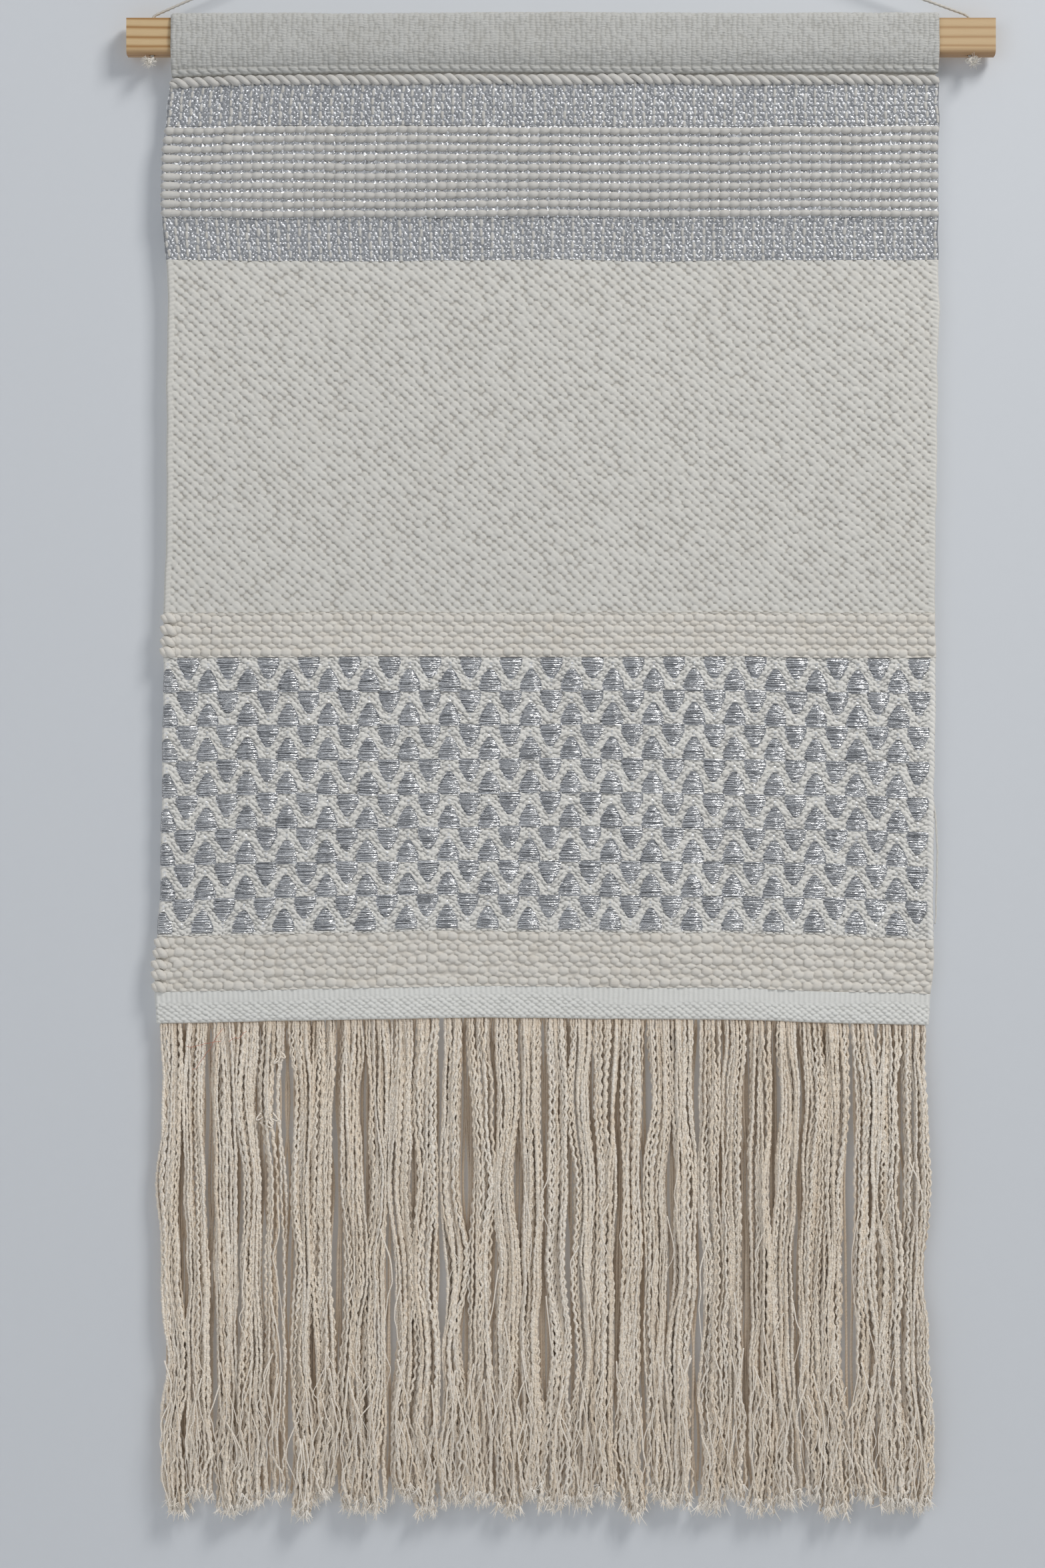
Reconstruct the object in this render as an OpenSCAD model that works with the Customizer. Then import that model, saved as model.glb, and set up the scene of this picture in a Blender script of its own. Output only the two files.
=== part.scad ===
// Handwoven wall hanging: a cotton and silver-thread cloth on a pine slat, with a long fringe,
// hung by a thin cord over a nail. The nail is the wall's own and isn't part of the model.
// +Z is up, +X runs along the slat to the right, and +Y goes into the wall, so the front faces -Y.
// The origin is the top of the nail, where the cord bears on it.

/* [Slat] */
// Length of the pine slat
slat_l = 505; // [490:5:560]
// Height of the slat's face
slat_h = 21; // [18:1:26]
// Thickness of the slat
slat_t = 10; // [8:1:14]
// Rounding of the slat's lower front edge
slat_round = 3.5; // [1:0.5:4]
// Diameter of the two holes for the cord
hole_d = 3.4; // [2.8:0.2:5]
// Distance from each end of the slat to its hole
hole_inset = 14.5; // [12:0.5:16]

/* [Cord] */
// Diameter of the hanging cord
cord_d = 1.8; // [1.4:0.2:2.2]
// Height of the nail above the slat's top
cord_rise = 95; // [80:5:100]
// How far the nail is to the left of the slat's middle
nail_shift = 24; // [0:2:30]
// Diameter of the knot under each hole
knot_d = 6.4; // [5:0.2:8]

/* [Sleeve] */
// Width of the sleeve that the slat goes through
sleeve_w = 446; // [430:2:450]
// Thickness of the sleeve's cloth
sleeve_t = 2; // [1.4:0.2:2.6]
// Gap between the slat and the sleeve
sleeve_gap = 0.4; // [0.3:0.1:0.8]
// Height of the seam ridge under the sleeve
seam_h = 2.8; // [2:0.2:4]

/* [Cloth] */
// Width of the cloth below the sleeve
cloth_w = 449; // [430:1:455]
// How far the lower edge of the cloth leans to the left
cloth_lean = 7; // [0:1:10]
// Height of the braided row
braid_h = 6.4; // [5:0.2:8]
// Height of the upper silver band
silver_a_h = 23.4; // [15:0.2:35]
// Number of thick ribs
rib_count = 10; // [6:1:14]
// Height of one rib
rib_pitch = 5.4; // [4:0.2:7]
// Height of the lower silver band
silver_b_h = 24.6; // [15:0.2:35]
// Height of the plain panel
plain_h = 205; // [150:5:260]
// Number of rows in the upper thick band
thick_a_rows = 4; // [3:1:6]
// Number of rows in the lower thick band
thick_b_rows = 5; // [3:1:7]
// Height of one thick row
thick_pitch = 6.4; // [5:0.2:8]
// Height of the bottom hem
hem_h = 18.4; // [12:0.2:26]

/* [Zigzags] */
// Number of full silver zigzags, between the half ones at the top and the bottom
zigzag_rows = 7; // [5:1:9]
// Distance from one silver zigzag down to the next
zigzag_step = 19.8; // [16:0.2:22]
// Number of hanging silver triangles across the cloth in one row
zigzag_points = 19; // [12:1:22]
// Height of one silver triangle
triangle_h = 12.2; // [9:0.2:13]
// Width of one silver triangle
triangle_w = 12.6; // [12:0.2:16]

/* [Fringe] */
// Number of bundles in the fringe
bundle_count = 30; // [30:1:30]
// Length of a bundle
bundle_l = 288; // [200:2:320]
// Thickness of a bundle from front to back
bundle_t = 6; // [4:0.5:7]
// Gap between two bundles
bundle_gap = 0.9; // [0.5:0.1:2]

/* [Hidden] */
$fn = 48;

slat_top = -cord_rise;
slat_low = slat_top - slat_h;
slat_left = nail_shift - slat_l / 2;
slat_right = nail_shift + slat_l / 2;
hole_left = slat_left + hole_inset;
hole_right = slat_right - hole_inset;
cloth_x = nail_shift - 3.5;

// Heights of the cloth's parts, from the top down.
sleeve_bottom = slat_low - 6.5;
seam_low = sleeve_bottom - seam_h;
swing_z = seam_low - 1;
braid_top = swing_z - 0.6;
silver_a_top = braid_top - braid_h;
ribs_top = silver_a_top - silver_a_h;
silver_b_top = ribs_top - rib_count * rib_pitch;
plain_top = silver_b_top - silver_b_h;
thick_a_top = plain_top - plain_h;
zigzag_top = thick_a_top - thick_a_rows * thick_pitch;
zigzag_h = (zigzag_rows + 1) * zigzag_step + 1.6;
thick_b_top = zigzag_top - zigzag_h;
hem_top = thick_b_top - thick_b_rows * thick_pitch;
hem_low = hem_top - hem_h;
fringe_swing_z = hem_low - 0.8;
fringe_top = hem_low - 2;

// The cord runs from hole to hole over a nail of this radius.
nail_r = 2;
bend_r = nail_r + cord_d / 2;
bend_z = -nail_r;
mouth_z = slat_top + 1;
left_slope = atan2(cord_rise - 3, -hole_left);
right_slope = atan2(cord_rise - 3, hole_right);
left_lead = [hole_left + 0.5, mouth_z + 0.9];
right_lead = [hole_right - 0.5, mouth_z + 0.9];
over_nail = [for (a = [90 + left_slope : -(left_slope + right_slope) / 6 : 90 - right_slope - 0.01])
    [bend_r * cos(a), bend_z + bend_r * sin(a)]];
cord_route = concat(
    [[hole_left, mouth_z], left_lead],
    between(left_lead, over_nail[0], 30),
    over_nail,
    between(over_nail[len(over_nail) - 1], right_lead, 34),
    [right_lead, [hole_right, mouth_z]]
);

BUNDLES = [for (i = [1 : bundle_count]) str("fringe_bundle_", i < 10 ? "0" : "", i)];

CREAM = [0.86, 0.85, 0.81];
WARM = [0.83, 0.78, 0.69];
SILVER = [0.62, 0.65, 0.67];
PINE = [0.84, 0.69, 0.46];

// Points strictly between two ends of a straight run.
function between(a, b, steps) = [for (i = [1 : steps - 1]) a + (b - a) * i / steps];

// How far the cloth's middle has moved to the left at a height.
function lean_at(z) = cloth_x - cloth_lean * (braid_top - z) / (braid_top - hem_low);

// Direction of a flat route at one of its points.
function heading(route, i) =
    let (a = route[max(0, i - 1)], b = route[min(len(route) - 1, i + 1)], d = b - a)
    d / norm(d);

// One ring of a round tube that follows a route in the XZ plane.
function tube_ring(route, i, r, sides) =
    let (p = route[i], t = heading(route, i))
    [for (k = [0 : sides - 1])
        let (a = 360 * k / sides)
        [p[0] - t[1] * r * cos(a), r * sin(a), p[1] + t[0] * r * cos(a)]];

module tube(route, r, sides) {
    rings = len(route);
    points = [for (i = [0 : rings - 1]) each tube_ring(route, i, r, sides)];
    skin = [for (i = [0 : rings - 2], k = [0 : sides - 1])
        let (a = i * sides + k, b = i * sides + (k + 1) % sides)
        each [[a, b, b + sides], [a, b + sides, a + sides]]];
    first_cap = [for (k = [sides - 1 : -1 : 0]) k];
    last_cap = [for (k = [0 : sides - 1]) (rings - 1) * sides + k];
    polyhedron(points, concat(skin, [first_cap, last_cap]));
}

// Stretches an outline drawn in the YZ plane along X.
module along_x(left, length) {
    translate([left, 0, 0])
        rotate([90, 0, 90])
            linear_extrude(height = length)
                children();
}

// A plain band of cloth: a slab with rounded selvedges.
module band(top, height, width, thick) {
    r = thick / 2;
    translate([lean_at(top - height / 2), 0, top - height])
        linear_extrude(height = height) {
            square([width - thick, thick], center = true);
            for (side = [-1, 1])
                translate([side * (width / 2 - r), 0])
                    circle(r = r);
        }
}

// Half the thickness of a ribbed band, from 0 at the top of a rib to 1 at its foot.
function rib_half(t, peak, valley) = valley / 2 + (peak - valley) / 2 * sqrt(sin(180 * t));

// A band of horizontal ribs, each as thick as peak and joined by a core as thick as valley.
module ribs(top, rows, pitch, width, peak, valley) {
    steps = 8;
    side = [for (row = [0 : rows - 1], s = [0 : steps - 1])
        [rib_half(s / steps, peak, valley), top - pitch * (row + s / steps)]];
    end = [valley / 2, top - pitch * rows];
    front = concat(side, [end]);
    back = [for (i = [len(front) - 1 : -1 : 0]) [-front[i][0], front[i][1]]];
    along_x(lean_at(top - rows * pitch / 2) - width / 2, width)
        polygon(concat(front, back));
}

module pine_slat() {
    color(PINE)
        difference() {
            along_x(slat_left, slat_l)
                difference() {
                    translate([-slat_t / 2, slat_low])
                        square([slat_t, slat_h]);
                    translate([-slat_t / 2, slat_low])
                        difference() {
                            translate([-1, -1])
                                square(slat_round + 1);
                            translate([slat_round, slat_round])
                                circle(r = slat_round);
                        }
                }
            for (x = [hole_left, hole_right])
                translate([x, 0, slat_low - 1])
                    cylinder(h = slat_h + 2, d = hole_d);
        }
}

module hanging_cord() {
    color(WARM)
        tube(cord_route, cord_d / 2, 8);
}

// The end of the cord inside the slat, with its knot below the hole and its frayed ends.
module cord_knot(x, flick) {
    drop = sqrt(pow(knot_d / 2, 2) - pow(hole_d / 2, 2)) + 0.03;
    color(CREAM)
        translate([x, 0, slat_low - drop]) {
            cylinder(h = slat_h + drop - 0.2, d = cord_d);
            sphere(d = knot_d);
            for (turn = [-40, 0, 40])
                rotate([100, 0, flick + turn])
                    cylinder(h = knot_d / 2 + 3.4, d = cord_d);
        }
}

// The cloth's top is folded back over the slat. The fold, its front and its back meet face to face.
sleeve_in = slat_t / 2 + sleeve_gap;
sleeve_out = sleeve_in + sleeve_t;
fold_low = slat_top + sleeve_gap;
seam_top = slat_low - 2 * sleeve_gap;

module along_sleeve() {
    color(CREAM)
        along_x(cloth_x - sleeve_w / 2, sleeve_w)
            children();
}

module sleeve_fold() {
    corner = sleeve_t - 0.2;
    right = [for (a = [0 : 15 : 90])
        [sleeve_out - corner + corner * cos(a), fold_low + sleeve_t - corner + corner * sin(a)]];
    left = [for (i = [len(right) - 1 : -1 : 0]) [-right[i][0], right[i][1]]];
    along_sleeve()
        polygon(concat([[sleeve_out, fold_low]], right, left, [[-sleeve_out, fold_low]]));
}

// The front ply at -1, or the back ply at 1.
module sleeve_ply(side) {
    along_sleeve()
        translate([side * (sleeve_in + sleeve_t / 2), (fold_low + seam_top) / 2])
            square([sleeve_t, fold_low - seam_top], center = true);
}

// Under the slat the front and back close up and are stitched together.
module sleeve_seam() {
    ridge = 2.3;
    foot = 1.4;
    ridge_z = sleeve_bottom - seam_h / 2;
    along_sleeve()
        polygon([
            [-sleeve_out, seam_top], [-ridge, ridge_z], [-foot, seam_low],
            [foot, seam_low], [ridge, ridge_z], [sleeve_out, seam_top]
        ]);
}

module braided_row() {
    r = braid_h / 2;
    foot = 1.4;
    low = acos(r / norm([foot, r])) - atan2(r, foot);
    over = [for (i = [0 : 24]) let (a = low + (180 - 2 * low) * i / 24) [r * cos(a), r * sin(a)]];
    color(CREAM)
        along_x(lean_at(braid_top - r) - cloth_w / 2, cloth_w)
            translate([0, braid_top - r])
                polygon(concat(over, [[-foot, -r], [foot, -r]]));
}

module silver_band_upper() {
    color(SILVER)
        band(silver_a_top, silver_a_h, cloth_w - 1, 2.8);
}

module roving_ribs() {
    color(CREAM)
        ribs(ribs_top, rib_count, rib_pitch, cloth_w + 3, 6, 2.8);
}

module silver_band_lower() {
    color(SILVER)
        band(silver_b_top, silver_b_h, cloth_w, 2.8);
}

module plain_panel() {
    color(CREAM)
        band(plain_top, plain_h, cloth_w, 3);
}

module thick_band_upper() {
    color(CREAM)
        ribs(thick_a_top, thick_a_rows, thick_pitch, cloth_w + 3, 6.4, 3);
}

module zigzag_band() {
    color(CREAM)
        band(zigzag_top, zigzag_h, cloth_w + 1, 3);
}

// How far the feet of the triangles in two rows reach past the line between them.
joint_h = 0.4;

// One silver zigzag: a row of hanging triangles joined at their feet to the upright ones between them.
module zigzag_strip(line, pitch, count) {
    foot = triangle_w / 2;
    narrow = foot * (1 - 2 * joint_h / triangle_h);
    upper = [for (i = [0 : count - 2])
        let (x = (i + 0.5) * pitch)
        each [[x - narrow, line + joint_h], [x, line - joint_h + triangle_h], [x + narrow, line + joint_h]]];
    lower = [for (i = [count - 1 : -1 : 0])
        let (x = i * pitch)
        each [[x + narrow, line - joint_h], [x, line + joint_h - triangle_h], [x - narrow, line - joint_h]]];
    right = [(count - 1) * pitch + foot, line + joint_h];
    left = [-foot, line + joint_h];
    polygon(concat([left], upper, [right], lower));
}

// The silver weft lies on the front of the zigzag band, in rows of joined triangles.
module silver_zigzags() {
    pitch = (cloth_w - 8) / zigzag_points;
    foot = triangle_w / 2;
    top_h = triangle_h - 1.4;
    color(SILVER)
        translate([lean_at(zigzag_top - zigzag_h / 2) - pitch * (zigzag_points - 1) / 2, -1.5, 0])
            rotate([90, 0, 0])
                linear_extrude(height = 0.6) {
                    for (row = [1 : zigzag_rows])
                        zigzag_strip(zigzag_top - row * zigzag_step, pitch, zigzag_points);
                    for (i = [0 : zigzag_points - 1])
                        translate([i * pitch, zigzag_top - 0.8])
                            polygon([[-foot, 0], [0, -top_h], [foot, 0]]);
                    for (i = [0 : zigzag_points - 2])
                        translate([(i + 0.5) * pitch, zigzag_top - zigzag_h + 0.8])
                            polygon([[-foot, 0], [foot, 0], [0, top_h]]);
                }
}

module thick_band_lower() {
    color(CREAM)
        ribs(thick_b_top, thick_b_rows, thick_pitch, cloth_w + 5, 6.4, 3);
}

module bottom_hem() {
    color(CREAM)
        band(hem_top, hem_h, cloth_w - 1, 2.8);
}

// One hanging bundle of loose warp ends. Their lengths differ a little.
module fringe_bundle(i) {
    pitch = (cloth_w - 3) / bundle_count;
    width = pitch - bundle_gap;
    length = bundle_l + 5 * sin(137 * i);
    r = bundle_t / 2;
    color(WARM)
        translate([lean_at(hem_low) + (i - (bundle_count + 1) / 2) * pitch, 0, fringe_top - length])
            linear_extrude(height = length) {
                square([width - bundle_t, bundle_t], center = true);
                for (side = [-1, 1])
                    translate([side * (width / 2 - r), 0])
                        circle(r = r);
            }
}

pine_slat();
hanging_cord();
cord_knot(hole_left, -35);  // left_cord_knot
cord_knot(hole_right, 15);  // right_cord_knot
sleeve_fold();
sleeve_ply(-1);  // sleeve_front
sleeve_ply(1);  // sleeve_back
sleeve_seam();
braided_row();
silver_band_upper();
roving_ribs();
silver_band_lower();
plain_panel();
thick_band_upper();
zigzag_band();
silver_zigzags();
thick_band_lower();
bottom_hem();
for (i = [1 : bundle_count])
    fringe_bundle(i);
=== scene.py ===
import math
import bpy
import numpy as np
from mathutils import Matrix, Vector


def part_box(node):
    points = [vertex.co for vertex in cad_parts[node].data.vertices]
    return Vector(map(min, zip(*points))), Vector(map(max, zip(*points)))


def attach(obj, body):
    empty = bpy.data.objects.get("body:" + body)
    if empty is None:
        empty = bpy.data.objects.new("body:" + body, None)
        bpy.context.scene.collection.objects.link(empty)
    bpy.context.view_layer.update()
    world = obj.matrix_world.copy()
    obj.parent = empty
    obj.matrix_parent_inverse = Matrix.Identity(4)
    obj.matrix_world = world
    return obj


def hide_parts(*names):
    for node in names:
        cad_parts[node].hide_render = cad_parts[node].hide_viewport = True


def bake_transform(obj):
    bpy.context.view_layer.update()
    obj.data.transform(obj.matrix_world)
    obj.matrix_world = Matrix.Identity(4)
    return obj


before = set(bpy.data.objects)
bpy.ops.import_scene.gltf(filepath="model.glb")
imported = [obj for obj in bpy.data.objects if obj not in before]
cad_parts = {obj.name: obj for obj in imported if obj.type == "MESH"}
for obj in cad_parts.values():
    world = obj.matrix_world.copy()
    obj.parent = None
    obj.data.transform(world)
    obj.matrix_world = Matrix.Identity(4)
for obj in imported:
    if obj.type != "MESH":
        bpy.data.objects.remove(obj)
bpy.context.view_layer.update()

MM = 0.001
TURN = 2 * math.pi
SEED = 590


# ---- helpers

def box(node):
    low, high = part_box(node)
    return np.array(low), np.array(high)


def dress(obj, body, slot, *nodes):
    """Fixes a piece to its body and hides the CAD nodes it stands for; slot is not used."""
    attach(obj, body)
    if nodes:
        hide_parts(*nodes)


def grid(a, b):
    return np.meshgrid(a, b, indexing="ij")


def dice(*key):
    """A seeded random generator, one for each use."""
    return np.random.default_rng([SEED, *key])


def clip(t):
    return np.clip(t, 0, 1)


def bell(t, width):
    return np.exp(-(t / width) ** 2)


def smooth(t):
    t = clip(t)
    return t * t * (3 - 2 * t)


TABLES = {}


def noise(a, b, cell, seed):
    """Smooth value noise from -1 to 1, with blobs about one cell wide."""
    if seed not in TABLES:
        TABLES[seed] = dice(1, seed).random((97, 89)) * 2 - 1
    table = TABLES[seed]
    p, q = a / cell, b / cell
    i, j = np.floor(p).astype(int), np.floor(q).astype(int)
    u, v = smooth(p - i), smooth(q - j)
    at = lambda m, n: table[m % 97, n % 89]
    near = at(i, j) * (1 - u) + at(i + 1, j) * u
    far = at(i, j + 1) * (1 - u) + at(i + 1, j + 1) * u
    return near * (1 - v) + far * v


def ripple(a, cell, seed):
    """The same noise along a line."""
    return noise(a, a * 0, cell, seed)


def add_object(name, data, place=(0, 0, 0), turn=(0, 0, 0)):
    obj = bpy.data.objects.new(name, data)
    obj.location, obj.rotation_euler = place, turn
    bpy.context.scene.collection.objects.link(obj)
    return obj


def make_mesh(name, verts, faces, attrs, material, uv=None):
    """Builds one smooth mesh object from arrays of triangles and quads."""
    mesh = bpy.data.meshes.new(name)
    sizes = np.concatenate([np.full(len(f), f.shape[1]) for f in faces])
    loops = np.concatenate([f.ravel() for f in faces])
    mesh.vertices.add(len(verts))
    mesh.vertices.foreach_set("co", np.asarray(verts, np.float32).ravel())
    mesh.loops.add(len(loops))
    mesh.loops.foreach_set("vertex_index", loops.astype(np.int32))
    mesh.polygons.add(len(sizes))
    starts = np.concatenate([[0], np.cumsum(sizes)[:-1]])
    mesh.polygons.foreach_set("loop_start", starts.astype(np.int32))
    mesh.update(calc_edges=True)
    mesh.polygons.foreach_set("use_smooth", np.ones(len(sizes), bool))
    for key, values in attrs.items():
        layer = mesh.attributes.new(key, "FLOAT", "POINT")
        layer.data.foreach_set("value", np.asarray(values, np.float32).ravel())
    if uv is not None:
        layer = mesh.uv_layers.new(name="OFBake")
        layer.data.foreach_set("uv", np.asarray(uv, np.float32)[loops].ravel())
    mesh.materials.append(material)
    return add_object(name, mesh)


# ---- camera

PICTURE_H = 0.9126
VIEW_X, VIEW_Z = 0.0016, -0.5399
DISTANCE, SENSOR_MM = 2.0, 36


def add_camera():
    camera = bpy.data.cameras.new("camera")
    camera.sensor_width = SENSOR_MM
    camera.lens = SENSOR_MM * DISTANCE / PICTURE_H
    bpy.context.scene.camera = add_object("camera", camera, (VIEW_X, -DISTANCE, VIEW_Z),
                                          (math.radians(90), 0, 0))


add_camera()


# ---- materials

class Graph:
    """Short calls that add and link shader nodes."""

    def __init__(self, name):
        self.material = bpy.data.materials.new(name)
        self.material.use_nodes = True
        self.tree = self.material.node_tree
        self.shader = self.tree.nodes["Principled BSDF"]
        self.out = self.tree.nodes["Material Output"]

    def add(self, kind, settings=None, **inputs):
        node = self.tree.nodes.new("ShaderNode" + kind)
        for key, value in (settings or {}).items():
            setattr(node, key, value)
        for key, value in inputs.items():
            self.feed(node, key, value)
        return node

    def feed(self, node, key, value):
        index = int(key[1:]) if key[0] == "i" and key[1:].isdigit() else key
        socket = node.inputs[index]
        if isinstance(value, bpy.types.NodeSocket):
            self.tree.links.new(value, socket)
        else:
            socket.default_value = value

    def coords(self, stretch=(1, 1, 1)):
        place = self.add("TexCoord").outputs["Object"]
        return self.add("Mapping", i0=place, i3=stretch).outputs[0]

    def attribute(self, name):
        return self.add("Attribute", {"attribute_name": name}).outputs["Fac"]

    def noise(self, where, scale, detail=3.0, rough=0.6):
        return self.add("TexNoise", i0=where, Scale=scale, Detail=detail,
                        Roughness=rough).outputs["Fac"]

    def math(self, operation, a, b=0.0, c=0.0):
        return self.add("Math", {"operation": operation}, i0=a, i1=b, i2=c).outputs[0]

    def muladd(self, a, b, c):
        return self.math("MULTIPLY_ADD", a, b, c)

    def times(self, a, b):
        return self.math("MULTIPLY", a, b)

    def mix(self, factor, a, b):
        return self.add("Mix", {"data_type": "RGBA"}, i0=factor, i6=a, i7=b).outputs[2]

    def blend(self, factor, a, b):
        return self.add("Mix", {"data_type": "FLOAT"}, i0=factor, i2=a, i3=b).outputs[0]

    def ramp(self, factor, *stops):
        node = self.add("ValToRGB", i0=factor)
        ramp = node.color_ramp
        ramp.elements[0].position, ramp.elements[0].color = stops[0][0], (*stops[0][1], 1)
        ramp.elements[1].position, ramp.elements[1].color = stops[-1][0], (*stops[-1][1], 1)
        for position, color in stops[1:-1]:
            ramp.elements.new(position).color = (*color, 1)
        return node.outputs[0]

    def set(self, **inputs):
        for key, value in inputs.items():
            self.feed(self.shader, key.replace("_", " "), value)


FIBRE_SCALE = 1400.0


def yarn_material(name, pale, tan, shade_color, stretch, weft=0.0, silver=False, mottle=0.4, plied=False,
                  tip=None):
    """Matte cotton whose colour follows the tone and silver values on the mesh, darkened towards shade_color
    by painted shade in hollows, ply grooves and weft grooves.
    """
    g = Graph(name)
    plain = g.coords()
    tone, gap = g.attribute("tone"), g.attribute("gap")
    drift = g.noise(plain, 22.0, 2.0)
    fleck = g.noise(plain, 160.0, 2.0)
    fibres = g.noise(g.coords(stretch), FIBRE_SCALE, 3.0, 0.7)
    shade = g.muladd(tone, 0.22, 0.47 - mottle)
    shade = g.muladd(drift, mottle, shade)
    shade = g.muladd(fleck, mottle, shade)
    tip = tip or tuple(min(1, c * 1.08) for c in pale)
    color = g.ramp(shade, (0.0, tan), (0.45, pale), (1.0, tip))
    color = g.mix(g.times(fibres, 0.35), color, (*[c * 0.82 for c in pale], 1))
    relief = g.muladd(fibres, 0.6, g.times(fleck, 0.6))
    if plied:
        bead = g.muladd(g.math("SINE", g.attribute("twist")), 0.5, 0.5)
        relief = g.muladd(bead, 0.65, relief)
        # painted shade: the ply grooves between the beads are darkened towards tan
        color = g.mix(g.times(g.math("SUBTRACT", 1.0, bead), 0.2), color, (*tan, 1))
    if weft:
        wave = g.add("TexWave", {"bands_direction": "Z"}, i0=plain, Scale=weft,
                     Distortion=5.0, Detail=2.0).outputs["Fac"]
        broken = g.times(wave, g.noise(g.coords((1, 1, 0.4)), 420.0, 2.0))
        relief = g.muladd(broken, 1.0, relief)
        # painted shade: the low parts of the weft relief are darkened
        color = g.mix(g.times(g.math("SUBTRACT", 0.6, broken), 0.13), color, (*shade_color, 1))
    # painted shade: darkens hollows, the fringe just under the hem and the yarns at the back of the fringe
    color = g.mix(g.times(gap, 0.85), color, (*shade_color, 1))
    bump = g.add("Bump", Strength=0.55, Distance=0.0005, Height=relief).outputs[0]
    g.set(Roughness=0.92, Specular_IOR_Level=0.15, Sheen_Weight=0.25, Sheen_Roughness=0.5)
    if silver:
        metal = g.attribute("silver")
        bright = g.muladd(tone, 0.5, 0.5)
        facet = scattered(g, (0.7, 1, 1.25), 1500.0, g.muladd(bright, 0.5, 0.1))
        bump = g.add("Mix", {"data_type": "VECTOR"}, i0=metal, i4=bump, i5=facet).outputs[1]
        crinkle = g.muladd(g.noise(plain, 500.0, 1.0), 0.3, g.math("SUBTRACT", bright, 0.15))
        foil = g.ramp(crinkle, (0.1, (0.31, 0.32, 0.34)), (0.5, (0.52, 0.53, 0.55)),
                      (0.9, (0.88, 0.89, 0.91)))
        color = g.mix(metal, color, foil)
        g.set(Metallic=metal, Roughness=g.blend(metal, 0.92, g.muladd(bright, -0.14, 0.52)))
    g.set(Base_Color=color, Normal=bump)
    return g.material


def scattered(g, stretch, scale, amount):
    """Normals tipped a little, cell by cell, the way crinkled foil glitters."""
    cells = g.add("TexVoronoi", i0=g.coords(stretch), Scale=scale)
    tips = g.add("VectorMath", {"operation": "SUBTRACT"}, i0=cells.outputs["Color"],
                 i1=(0.5, 0.5, 0.5)).outputs[0]
    tips = g.add("VectorMath", {"operation": "SCALE"}, i0=tips, Scale=amount).outputs[0]
    normal = g.add("NewGeometry").outputs["Normal"]
    facet = g.add("VectorMath", {"operation": "ADD"}, i0=normal, i1=tips).outputs[0]
    return g.add("VectorMath", {"operation": "NORMALIZE"}, i0=facet).outputs[0]


def silver_material():
    """Lurex: thin metal threads that lie side by side."""
    g = Graph("silver_thread")
    grain = g.noise(g.coords((0.35, 1, 1.6)), 1500.0, 2.0)
    bright = g.muladd(g.attribute("tone"), 0.4, 0.45)
    # tone carries the painted highlight, painted glints and painted shade set in silver_float
    color = g.ramp(bright, (0.0, (0.42, 0.43, 0.45)), (0.5, (0.80, 0.81, 0.83)), (1.0, (1.0, 1.0, 1.0)))
    color = g.mix(g.times(grain, 0.35), color, (0.34, 0.35, 0.37, 1))
    rough = g.muladd(g.noise(g.coords(), 900.0, 1.0), 0.22, 0.17)
    g.set(Base_Color=color, Metallic=1.0, Roughness=rough,
          Normal=scattered(g, (0.55, 1, 1.2), 1300.0, g.muladd(bright, 0.45, 0.25)))
    return g.material


RING_PITCH, UNDER_SHADE_H = 0.0052, 0.0035


def pine_material():
    """Planed pine: straight grain stripes along the slat, rings on its ends."""
    g = Graph("pine")
    low, high = box("pine_slat")
    bend = g.noise(g.coords((0.25, 0.6, 1.0)), 30.0, 2.0)
    along = g.add("SeparateXYZ", i0=g.coords())
    height = g.muladd(bend, 0.0045, along.outputs["Z"])
    depth = g.muladd(along.outputs["Y"], 0.9, height)
    rings = g.math("SINE", g.times(depth, TURN / RING_PITCH))
    rings = g.math("POWER", g.muladd(rings, 0.5, 0.5), 2.6)
    streak = g.noise(g.coords((0.035, 1.0, 1.0)), 2600.0, 4.0, 0.75)
    color = g.ramp(rings, (0.0, (0.70, 0.53, 0.31)), (0.4, (0.62, 0.44, 0.235)),
                   (1.0, (0.37, 0.20, 0.075)))
    color = g.mix(g.times(streak, 0.5), color, (0.40, 0.235, 0.10, 1))
    side = g.muladd(along.outputs["X"], 2.0, 0.45)
    color = g.mix(g.times(side, 0.42), color, (0.55, 0.40, 0.25, 1))
    # painted shade: darkens the bottom few mm of the slat, where its lower edge turns away from the light
    lip = g.muladd(along.outputs["Z"], -1 / UNDER_SHADE_H, low[2] / UNDER_SHADE_H + 1.15)
    lip.node.use_clamp = True
    color = g.mix(g.times(lip, 0.55), color, (0.30, 0.13, 0.05, 1))
    bump = g.add("Bump", Strength=0.3, Distance=0.0003,
                 Height=g.muladd(rings, -0.5, streak)).outputs[0]
    g.set(Base_Color=color, Normal=bump, Specular_IOR_Level=0.35,
          Roughness=g.muladd(g.noise(g.coords((0.6, 6.0, 1.0)), 300.0), 0.25, 0.45))
    return g.material


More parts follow.
